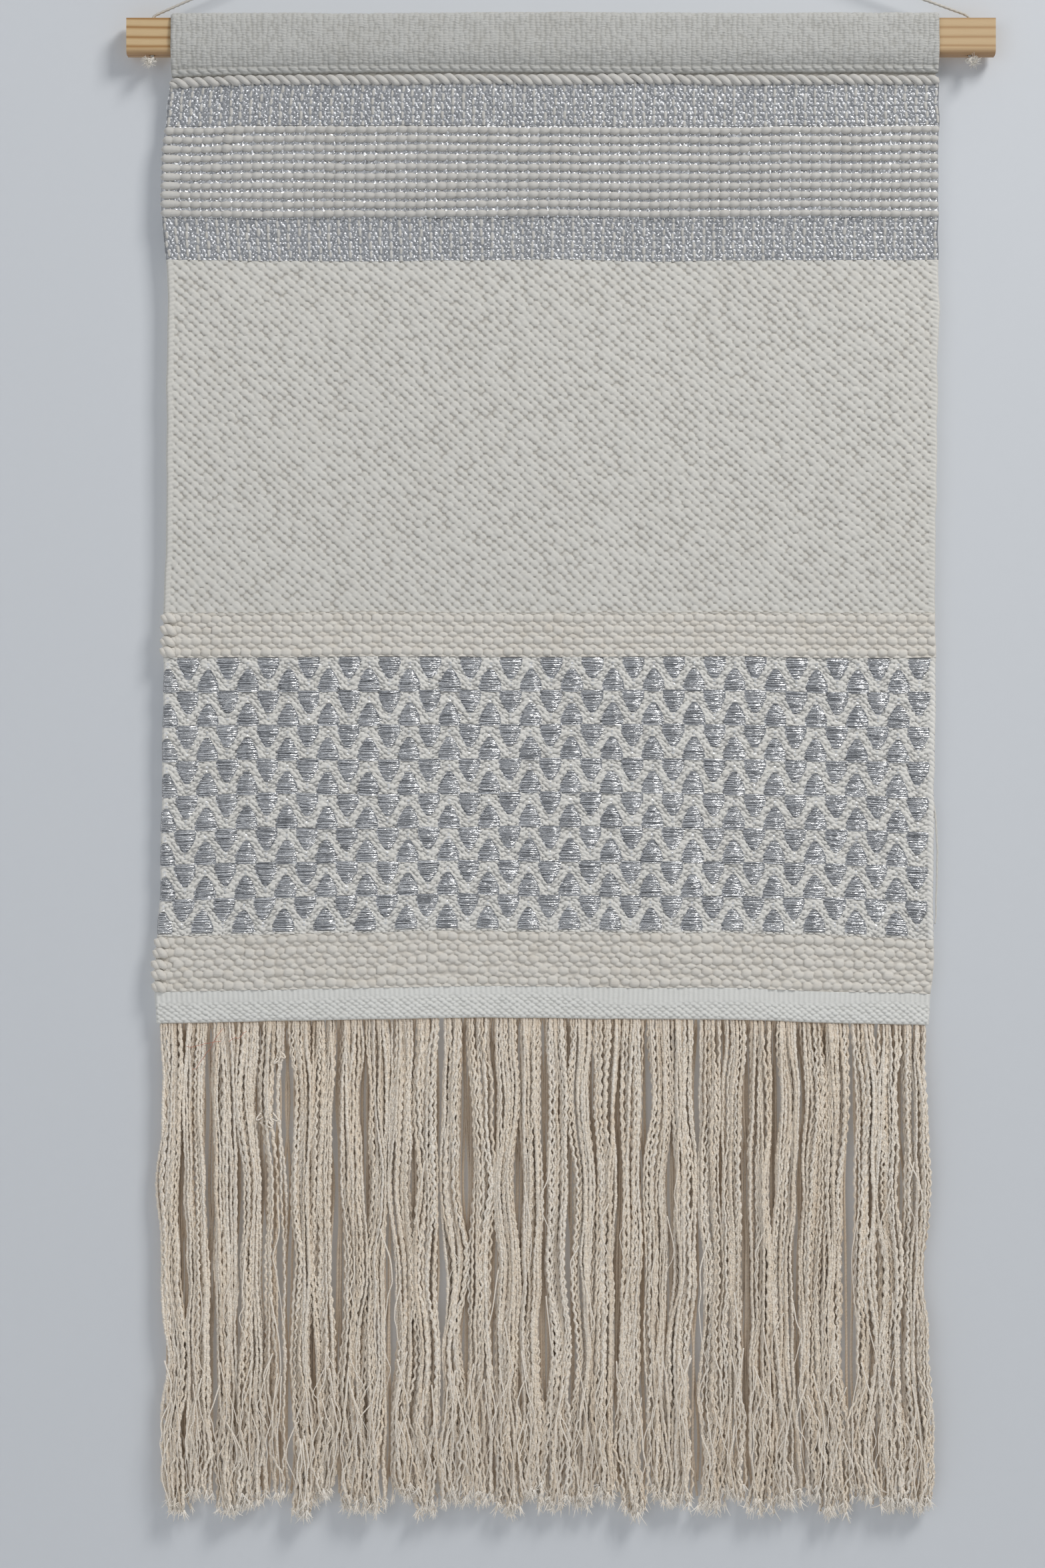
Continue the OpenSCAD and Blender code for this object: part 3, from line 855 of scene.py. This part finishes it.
def rib_rows():
    """Rows of thick roving, softly pinched by the warp, with silver stitches in the gaps."""
    top, pitch = box("roving_ribs")[1][2], height("roving_ribs") / RIB_ROWS
    rng = dice(5, 1)
    roving, stitches = Yarns(12), Yarns(5)
    s = np.arange(-HALF - 0.0006, HALF + 0.0005, 0.62 * MM)
    for k in range(RIB_ROWS):
        z0 = top - (k + 0.5) * pitch
        at = s * 0 + z0
        phase = s / PITCH * math.pi + 0.25 * noise(s, at, 0.03, 50)
        bead = np.abs(np.cos(phase)) ** 0.8
        size = 1 + 0.07 * noise(s, at, 0.009, 51) + 0.06 * noise(s, at, 0.05, 52)
        slub = sum(rng.choice([0, 0.45]) * bell(s - c, SLUB) for c in rng.uniform(-HALF, HALF, 3))
        if k in (0, 1, 2, 4):
            slub = slub + rng.uniform(0.7, 1.0) * bell(s + HALF - 0.042 + 0.003 * k, SLUB)
        reach = (8.6 if k > 1 else 5.5) * MM
        left = smooth((-HALF + reach - s) / 0.0012)
        fat = np.sqrt(clip(1 - ((s + HALF - reach / 2) / (reach * 0.56)) ** 2))
        radius = (1.4 + 0.82 * bead + 0.75 * slub) * size * MM
        radius = radius * (1 - left) + (1.3 + 1.2 * fat) * MM * left
        ends = np.clip((HALF + 0.0006 - np.abs(s)) / 0.0018, 0.1, 1) ** 0.5
        z = z0 + 0.25 * MM * noise(s, at, 0.02, 53) + 0.4 * MM * noise(s, at, 0.12, 55)
        # painted shade in the pinches between the beads, none on the left bulbs
        roving.add(settle(s, z, (0.75 + 0.2 * bead) * MM), radius * ends, flat=1.02,
                   tone=0.5 * noise(s, at, 0.014, 54) + 0.7 * left, gap=(1 - bead) * 0.3 * (1 - left))
        v = np.linspace(-1, 1, 5)
        for c in np.arange(-75, 76) * PITCH / 2:
            if rng.random() < 0.1:
                continue
            x, lean = c + rng.normal(0, 0.2) * MM, rng.uniform(-0.2, 0.6) * MM
            path = settle(x + lean * v, z0 - pitch / 2 + 0.95 * MM * v + rng.normal(0, 0.12) * MM,
                          (1.15 + 0.5 * (1 - v ** 2)) * MM)
            stitches.add(path, 0.26 * MM, tone=rng.normal(0.2, 0.4))
    rows = roving.build("roving_rib_rows", RIBS)
    ties = stitches.build("rib_silver_stitches", SILVER)
    dress(rows, "panel", "cream_roving")
    dress(ties, "panel", "silver_thread")
    return [rows, ties]


def braid():
    """Two fat strands of roving twisted round each other, like a rope, in front of the cloth."""
    low, high = box("braided_row")
    z0 = (low[2] + high[2]) / 2
    s = np.arange(-HALF, HALF, 0.6 * MM)
    roving = Yarns(10)
    for ply in (0, 1):
        turn = s / PITCH * math.pi + ply * math.pi + 0.7 * ripple(s, 0.025, 60)
        size = 1 + 0.2 * ripple(s, 0.008, 62 + ply)
        ends = np.clip((HALF - np.abs(s)) / 0.002, 0.15, 1) ** 0.5
        path = settle(s, z0 - 1.5 * MM * np.sin(turn), (0.8 + 1.15 * np.cos(turn)) * MM)
        # painted shade on each ply where it turns to the back
        roving.add(path, 1.78 * MM * size * ends, tone=0.5 * ripple(s, 0.02, 64 + ply),
                   gap=0.4 * clip(0.2 - np.cos(turn)), lobes=0.08, turns=-s / 0.004)
    rope = roving.build("braided_roving", RIBS)
    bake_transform(rope)
    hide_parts("braided_row")
    return rope


# ---- the sleeve

SLEEVE_STEP, SLEEVE_THICK = 0.42 * MM, 1.3 * MM
RIDGE_Z, GROOVE_Z = -124.1 * MM, -122.2 * MM
# The sleeve's section as (y, z) in mm: from the seam up the front, over the slat and down the back.
SLEEVE_LINE = [(-0.9, -126.5), (-2.6, -125.6), (-3.5, -124.4), (-3.5, -122.9), (-4.4, -120.8),
               (-5.9, -117.6), (-6.9, -114.6), (-7.35, -110.5), (-7.35, -97.0), (-6.7, -93.7), (-4.7, -92.2),
               (0.0, -91.7), (4.7, -92.2), (6.7, -93.7), (7.35, -97.0), (7.35, -112.0), (5.6, -117.8),
               (3.2, -121.5), (2.4, -124.3), (0.9, -126.5)]


def sleeve_side(profile, outward, run, s, mid, half, inward):
    """One face of the sleeve, as its points, tone and painted shade: fine ribs, a stitched ridge with a
    groove above it, and soft lumps, set back from the section by inward. The painted shade darkens the
    groove, the hollows between bumps and ribs, and the cloth below the seam."""
    along, s = grid(run, s)
    base, out = profile[:, None], outward[:, None]
    front = out[..., 1] < 0
    z = base[..., 2] + 0 * s
    ridge, groove = bell(z - RIDGE_Z, 0.0013) * front, bell(z - GROOVE_Z, 0.0009) * front
    ribs, rtone = domes(along + 0.4 * MM * noise(s, along, 0.01, 78),
                        s + 0.35 * MM * noise(s, along, 0.012, 70),
                        3.1 * MM, PITCH / 2, 2.2 * MM, 1.3 * MM, 79, power=2.2, jitter=0.25)
    bumps, btone = domes(s, z, PITCH, 2.6 * MM, 2.9 * MM, 1.7 * MM, 71, power=2.0, slant=0.3)
    lump = 0.16 * MM * noise(s, along, 0.009, 72) + 0.3 * MM * noise(s, along, 0.04, 73)
    rise = 0.34 * ribs * (1 - ridge) * MM + ridge * (bumps - 0.35) * 0.9 * MM - groove * 0.4 * MM
    ends = smooth((half - np.abs(s)) / 0.0012)
    rise = rise + lump - inward - 0.5 * MM * (1 - ends) * (inward == 0)
    place = base + out * rise[..., None]
    wave = 0.5 * MM * noise(s, z, 0.06, 74) * smooth((-0.112 - z) / 0.01)
    top = 0.35 * MM * ripple(s, 0.05, 75) * smooth((z + 0.105) / 0.01)
    sag = -2.2 * MM * np.exp(-(s + half) / 0.035) * smooth((-0.114 - z) / 0.009)
    place[..., 2] += wave + sag + top
    place[..., 0] = mid + s * (1 + (0.4 * MM * ripple(z, 0.008, 76)) / half)
    # painted shade in the groove and the hollows, and below the seam
    gap = clip(groove * 0.3 + ridge * clip(1 - bumps * 1.5) * 0.5 + clip(1 - ribs * 1.5) * 0.38 * (1 - ridge))
    gap = np.maximum(gap, smooth((-125.3 * MM - z) / 0.001) * 0.9)
    tone = 0.35 * noise(s, along, 0.012, 77) + 0.3 * ridge * btone + 0.3 * rtone * (1 - ridge)
    return place, tone, gap


def sleeve():
    """The folded cloth round the slat, closed below it by a stitched ridge."""
    low, high = box("sleeve_front")
    mid, half = (low[0] + high[0]) / 2, (high[0] - low[0]) / 2
    line = np.array([(0, y, z) for y, z in SLEEVE_LINE]) * MM
    profile, run = resample(line, SLEEVE_STEP)
    if len(profile) % 2 == 0:
        profile, run = resample(line, SLEEVE_STEP * run[-1] / (run[-1] + 0.5 * MM))
    odd = len(profile) // 2 * 2 - 1
    profile, run = profile[:odd], run[:odd]
    for _ in range(14):
        profile[1:-1] = (profile[:-2] + 2 * profile[1:-1] + profile[2:]) / 4
    slope = unit(np.gradient(profile, axis=0))
    outward = np.stack([slope[:, 0], -slope[:, 2], slope[:, 1]], -1)
    s = np.linspace(-half, half, int(half / (0.5 * MM)) * 2 + 1)
    sides = [sleeve_side(profile[::skip], outward[::skip], run[::skip], s[::skip], mid, half, inward)
             for skip, inward in ((1, 0.0), (2, SLEEVE_THICK))]
    obj = shell("sleeve_cloth", sides, WHITE)
    dress(obj, "sleeve", "white_cotton", "sleeve_fold", "sleeve_front", "sleeve_back", "sleeve_seam")
    neck()


def neck():
    """The bit of cloth that bends between the sleeve and the panel, darkened all over with painted shade
    under the sleeve's ridge.
    """
    top, foot = -0.1244, -0.1286
    s = np.linspace(-HALF + 0.002, HALF - 0.002, 401)
    sides = []
    for k, face in enumerate((1, -1)):
        z, q = grid(np.linspace(top, foot, (13, 7)[k]), s[::k + 1])
        out = (0.7 + 0.15 * np.cos(TURN * q / PITCH)) * MM
        sides.append((settle(q, z, out * face), 0.0, 0.75))
    obj = shell("seam_neck", sides, CREAM)
    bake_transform(obj)
    return obj


# ---- the bands

def band(node, name, relief, material, steps, slot, pieces=(), raised=0.0):
    """One band of the weave, as a sheet that stands for its CAD node; steps are its grid's, in mm."""
    obj = woven(name, node, relief, material, steps[0] * MM, steps[1] * MM, raised)
    dress(obj, "panel", slot, node)
    height(node)


def cloth():
    sleeve()
    band("silver_band_upper", "silver_band_upper_cloth", silver_relief, MIXED, (0.34, 0.34), "silver_thread",
         [braid()], raised=0.0045)
    band("roving_ribs", "rib_ground_cloth", rib_ground, MIXED, (0.6, 0.55), "silver_thread", rib_rows())
    band("silver_band_lower", "silver_band_lower_cloth", silver_relief, MIXED, (0.34, 0.34), "silver_thread")
    band("plain_panel", "plain_panel_cloth", plain_relief, CREAM, (0.62, 0.5), "cream_cotton")
    for node, rows, seed, rough in (("thick_band_upper", 4, 80, 0.9), ("thick_band_lower", 5, 90, 1.4)):
        band(node, node + "_cloth", thick_relief(node, rows, seed, rough), ROVING, (0.5, 0.42),
             "cream_roving", [edge_bulbs(node, rows, seed)])
    band("zigzag_band", "zigzag_cloth", zigzag_relief, MIXED, (0.55, 0.42), "cream_cotton",
         [silver_floats(), loose_thread()])
    band("bottom_hem", "bottom_hem_cloth", hem_relief, HEM, (0.5, 0.36), "white_cotton", fringe())


# ---- the fringe

BUNDLES, YARNS, FILLERS, STRAYS = 30, 24, 8, 7
FRONT_Y, BACK_Y = -0.0088, 0.0078


def fringe():
    return [bundle(i) for i in range(1, BUNDLES + 1)] + [lint()]


def bundle(i):
    """Loose crimped warp ends in two or three groups that wander and cross as they hang."""
    node = f"fringe_bundle_{i:02d}"
    low, high = box(node)
    rng = dice(6, i)
    mid, half, z_top = (low[0] + high[0]) / 2, (high[0] - low[0]) / 2, CLOTH_LOW + 0.0032
    length = z_top - low[2] - 0.004
    yarns = Yarns(6)
    groups = 3 if rng.random() < 0.25 else 2
    spread = half * rng.uniform(0.84, 0.98)
    starts = ((np.arange(groups) + 0.5) / groups * 2 - 1) * 0.88
    sway, drift = rng.integers(10, 90), rng.normal(0, 1.3) * MM
    for gnum, start in enumerate(starts * spread):
        count = int(round(YARNS / groups + rng.integers(-1, 2)))
        near = rng.uniform(-1.2, 0.6) * MM
        lean, spin = drift + rng.normal(0, 0.7) * MM, rng.uniform(-1.5, 1.5)
        cut = group_cut(i, gnum, rng)
        for n in range(count):
            short = length * min(cut[n % len(cut)], 1 - rng.uniform(0, 0.028))
            down = np.arange(0, short, 1.05 * MM)
            t = down / length
            wander, depth, width = group_course(down, t, lean, i * 7 + gnum, 5000 + i * 100 + sway)
            own = 1000 + i * 60 + gnum * 20 + n
            angle = TURN * (n + rng.uniform(-0.3, 0.3)) / count + spin * t + 0.9 * ripple(down, 0.05, own)
            tip = warp_end(yarns, rng, down, t, short, mid - MID_LOW + start + wander, near + depth,
                           spread / groups * width, angle, own, z_top, low[2])
            if short < 0.4 * length:
                hook(yarns, tip, rng)
            else:
                fray(yarns, tip + np.array([0, 0, 0.003]), (0, 0, -1), rng, 7, 0.0054, 0.0004, 0.3)
    for _ in range(FILLERS):
        filler(yarns, mid, half, z_top, length, rng)
    for k in range(STRAYS):
        stray(yarns, mid, half, z_top, length, rng, 0.25 if k < 2 else 0.68)
    obj = yarns.build(f"fringe_yarns_{i:02d}", WARM)
    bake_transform(obj)
    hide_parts(node)
    return obj


def loosened(t):
    """How far a bundle has fallen apart, t being the share of its length."""
    return smooth((t - 0.62) / 0.38)


def group_course(down, t, lean, key, sway):
    """How a group of yarns hangs: its sideways wander, its depth, and its width as a factor."""
    wander = (2.6 * MM * ripple(down, 0.05, sway) * smooth(t * 7) + lean * t
              + (0.6 + 1.0 * t) * MM * ripple(down, 0.045, 100 + key) * smooth(t * 7)
              + (0.3 + 0.7 * t) * MM * ripple(down, 0.02, 300 + key) * smooth(t * 9))
    depth = 1.6 * MM * ripple(down, 0.07, 400 + key) * smooth(t * 5)
    width = 1.22 + 0.16 * ripple(down, 0.045, 500 + key) - 0.12 * smooth(t * 4) + 0.55 * loosened(t)
    return wander, depth, width


def warp_end(yarns, rng, down, t, short, s, y, width, angle, own, z_top, foot):
    """One crimped two-ply yarn that circles the middle line (s, y) of its group. Gives its tip."""
    loose = loosened(t)
    r = rng.uniform(0.45, 1.0)
    crimp = rng.choice([0.2, 0.35, 0.6]) * MM
    wave = TURN * down / (rng.uniform(5.0, 8.0) * MM) + rng.uniform(0, 6)
    free = smooth(down / 0.014)
    s = (s + r * width * np.cos(angle) + crimp * np.sin(wave) * free
         + (0.5 + 4.5 * loose * rng.random()) * MM * ripple(down, 0.018, own + 2000) * free)
    root = settle(s, np.full(len(s), z_top), 0.0)
    y = y + 2.7 * MM * r * np.sin(angle) + crimp * 0.7 * np.cos(wave)
    y = (y + 0.4 * MM) * (0.1 + 0.9 * free) + 0.5 * MM + root[:, 1] * (1 - free)
    y = np.clip(y + 1.4 * MM * loose * ripple(down, 0.02, own + 3000), FRONT_Y, BACK_Y)
    path = np.stack([root[:, 0], y, root[:, 2] - down * (root[:, 2] - foot) / (z_top - foot)], -1)
    thin = np.clip((short - down) / 0.006, 0.4, 1) * (0.55 + 0.45 * smooth(down / 0.006))
    thick = rng.uniform(0.70, 1.0) * MM * (1 + 0.14 * ripple(down, 0.01, own + 4000))
    period = rng.uniform(2.0, 2.7) * MM
    # painted shade: inner darkens the yarns at the back of the group, and a fall-off from the root darkens
    # them just under the hem
    inner = 0.5 * smooth(0.3 + 0.7 * np.sin(angle)) * (1 - 0.5 * loose)
    yarns.add(path, thick * thin, lobes=0.12, turns=down * TURN / (3.1 * period) + rng.uniform(0, 6),
              tone=rng.uniform(-0.8, 1.0) + 0.3 * ripple(down, 0.02, own + 6000),
              gap=0.8 * np.exp(-down / 0.0042) + inner, ply=down * TURN / period)
    return path[-1]


def filler(yarns, mid, half, z_top, length, rng):
    """A plain yarn that hangs at the back, across the space between two bundles, darkened with painted shade
    so that space reads dark.
    """
    down = np.arange(0, length * rng.uniform(0.93, 0.985), 2.2 * MM)
    free = smooth(down / 0.014)
    s = mid - MID_LOW + rng.uniform(-1.25, 1.25) * half + 0 * down
    key = int(rng.integers(9000, 9900))
    root = settle(np.clip(s, -HALF + 0.003, HALF - 0.003), np.full(len(s), z_top), 0.0)
    x = root[:, 0] + 2.2 * MM * ripple(down, 0.05, key) * free
    y = root[:, 1] * (1 - free) + (0.5 + rng.uniform(3.6, 5.6) * free) * MM
    yarns.add(np.stack([x, y, root[:, 2] - down], -1), 0.75 * MM * (0.55 + 0.45 * smooth(down / 0.006)),
              tone=rng.uniform(-0.8, 0.4), gap=0.5 + 0.4 * np.exp(-down / 0.005),
              ply=down * TURN / (2.3 * MM))


def group_cut(i, gnum, rng):
    """How much of the full length the yarns of a group keep; a few near the left are cut short."""
    if i == 5:
        return [1.0, 0.21, 0.2, 1.0, 0.22] if gnum == 0 else [0.085, 1.0, 0.075, 0.09]
    return [1.0, 1.0, 1.0 - rng.uniform(0, 0.03)]


def hook(yarns, tip, rng):
    """The curled end of a short yarn."""
    t = np.linspace(0, 1, 14)
    side = rng.choice([-1, 1])
    size = rng.uniform(1.6, 3.2) * MM
    path = tip + np.stack([side * size * np.sin(3.6 * t), -0.0008 * t, -size * 1.5 * np.sin(2.6 * t)], -1)
    yarns.add(path, 0.5 * MM * (1 - 0.4 * t), tone=0.8, ply=t * 30)


def stray(yarns, mid, half, z_top, length, rng, lowest):
    """A thin loose end that bows out of the bundle and comes back lower down. It leaves the bundle
    no higher than the share of its length that lowest says."""
    first = length * rng.uniform(lowest, 0.85)
    span = min(rng.uniform(0.03, 0.085), length - first - 0.004)
    u = np.linspace(0, 1, 40)
    bow = rng.choice([-1, 1]) * rng.uniform(0.35, 0.95) * half
    x = (mid + rng.uniform(-0.6, 0.6) * half + bow * np.sin(math.pi * u)
         + 1.6 * MM * ripple(u, 0.22, int(rng.integers(900))))
    y = -4.2 * MM - 2.2 * MM * np.sin(math.pi * u) * rng.uniform(0.2, 1)
    z = z_top - first - span * (u + 0.06 * np.sin(TURN * u))
    yarns.add(np.stack([x, y + 0 * u, z], -1), rng.uniform(0.28, 0.5) * MM * (1 - 0.5 * u), tone=0.9,
              ply=u * span / MM * 3)


def lint():
    """Fine red threads caught in the second and third bundles, below the hem."""
    threads = Yarns(4)
    x0 = box("fringe_bundle_02")[0][0]
    u = np.linspace(0, 1, 40)
    for dx, dz, wide, tall, seed in ((0.0005, -0.0165, 0.0205, 0.0045, 1), (0.004, -0.0295, 0.017, 0.024, 2),
                                     (0.0255, -0.0125, 0.0105, 0.005, 3)):
        x = x0 + dx + wide * u + 0.8 * MM * ripple(u, 0.2, 700 + seed)
        z = CLOTH_LOW + dz + tall * u ** 1.4 + 0.9 * MM * ripple(u, 0.16, 710 + seed)
        threads.add(np.stack([x, -5.3 * MM + 0.3 * MM * np.sin(7 * u), z], -1), 0.13 * MM)
    obj = threads.build("red_lint_threads", LINT)
    dress(obj, "fringe", "fringe_cotton")
    return obj


cloth()


# ---- slat, stage and lights

def dress_slat():
    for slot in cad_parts["pine_slat"].material_slots:
        slot.material = PINE


def plane(name, corners, material):
    mesh = bpy.data.meshes.new(name)
    mesh.from_pydata(corners, [], [(0, 1, 2, 3)])
    mesh.materials.append(material)
    obj = add_object(name, mesh)
    return obj


def stage_material(name, color, one_sided):
    g = Graph(name)
    speck = g.noise(g.coords(), 260.0, 2.0)
    g.set(Base_Color=g.mix(g.times(speck, 0.06), (*color, 1), (*[c * 0.8 for c in color], 1)),
          Roughness=0.8, Specular_IOR_Level=0.2)
    if one_sided:
        clear = g.add("BsdfTransparent").outputs[0]
        behind = g.add("NewGeometry").outputs["Backfacing"]
        mix = g.add("MixShader", i0=behind, i1=g.shader.outputs[0], i2=clear)
        g.tree.links.new(mix.outputs[0], g.out.inputs[0])
    return g.material


def add_stage():
    wide, wall_y, floor_z, top_z = 4.0, 0.0095, -1.3, 2.5
    wall = plane("wall", [(-wide, wall_y, floor_z), (wide, wall_y, floor_z), (wide, wall_y, top_z),
                          (-wide, wall_y, top_z)], stage_material("wall_paint", (0.66, 0.685, 0.72), True))
    wall.visible_shadow = wall.visible_diffuse = wall.visible_glossy = False
    plane("floor", [(-wide, -wide, floor_z), (wide, -wide, floor_z), (wide, wide, floor_z),
                    (-wide, wide, floor_z)], stage_material("floor_paint", (0.68, 0.69, 0.70), False))


def area_light(name, place, aim, size, power, color):
    light = bpy.data.lights.new(name, "AREA")
    light.size, light.energy, light.color = size, power, color
    turn = (Vector(aim) - Vector(place)).to_track_quat("-Z", "Y").to_euler()
    add_object(name, light, place, turn)


def add_lights():
    aim = (0, 0, -0.55)
    area_light("key", (1.35, -1.5, 1.45), aim, 0.8, 42, (1.0, 0.985, 0.96))
    area_light("fill", (-1.2, -2.4, -0.1), aim, 1.6, 8, (0.95, 0.97, 1.0))
    area_light("back", (-1.2, 2.2, 0.6), aim, 1.4, 30, (1.0, 0.99, 0.97))
    world = bpy.data.worlds.new("soft_room")
    world.use_nodes = True
    sky = world.node_tree.nodes["Background"]
    sky.inputs[0].default_value = (0.90, 0.925, 0.96, 1)
    sky.inputs[1].default_value = 0.40
    bpy.context.scene.world = world
    bpy.context.scene.view_settings.view_transform = "Standard"


dress_slat()
add_stage()
add_lights()
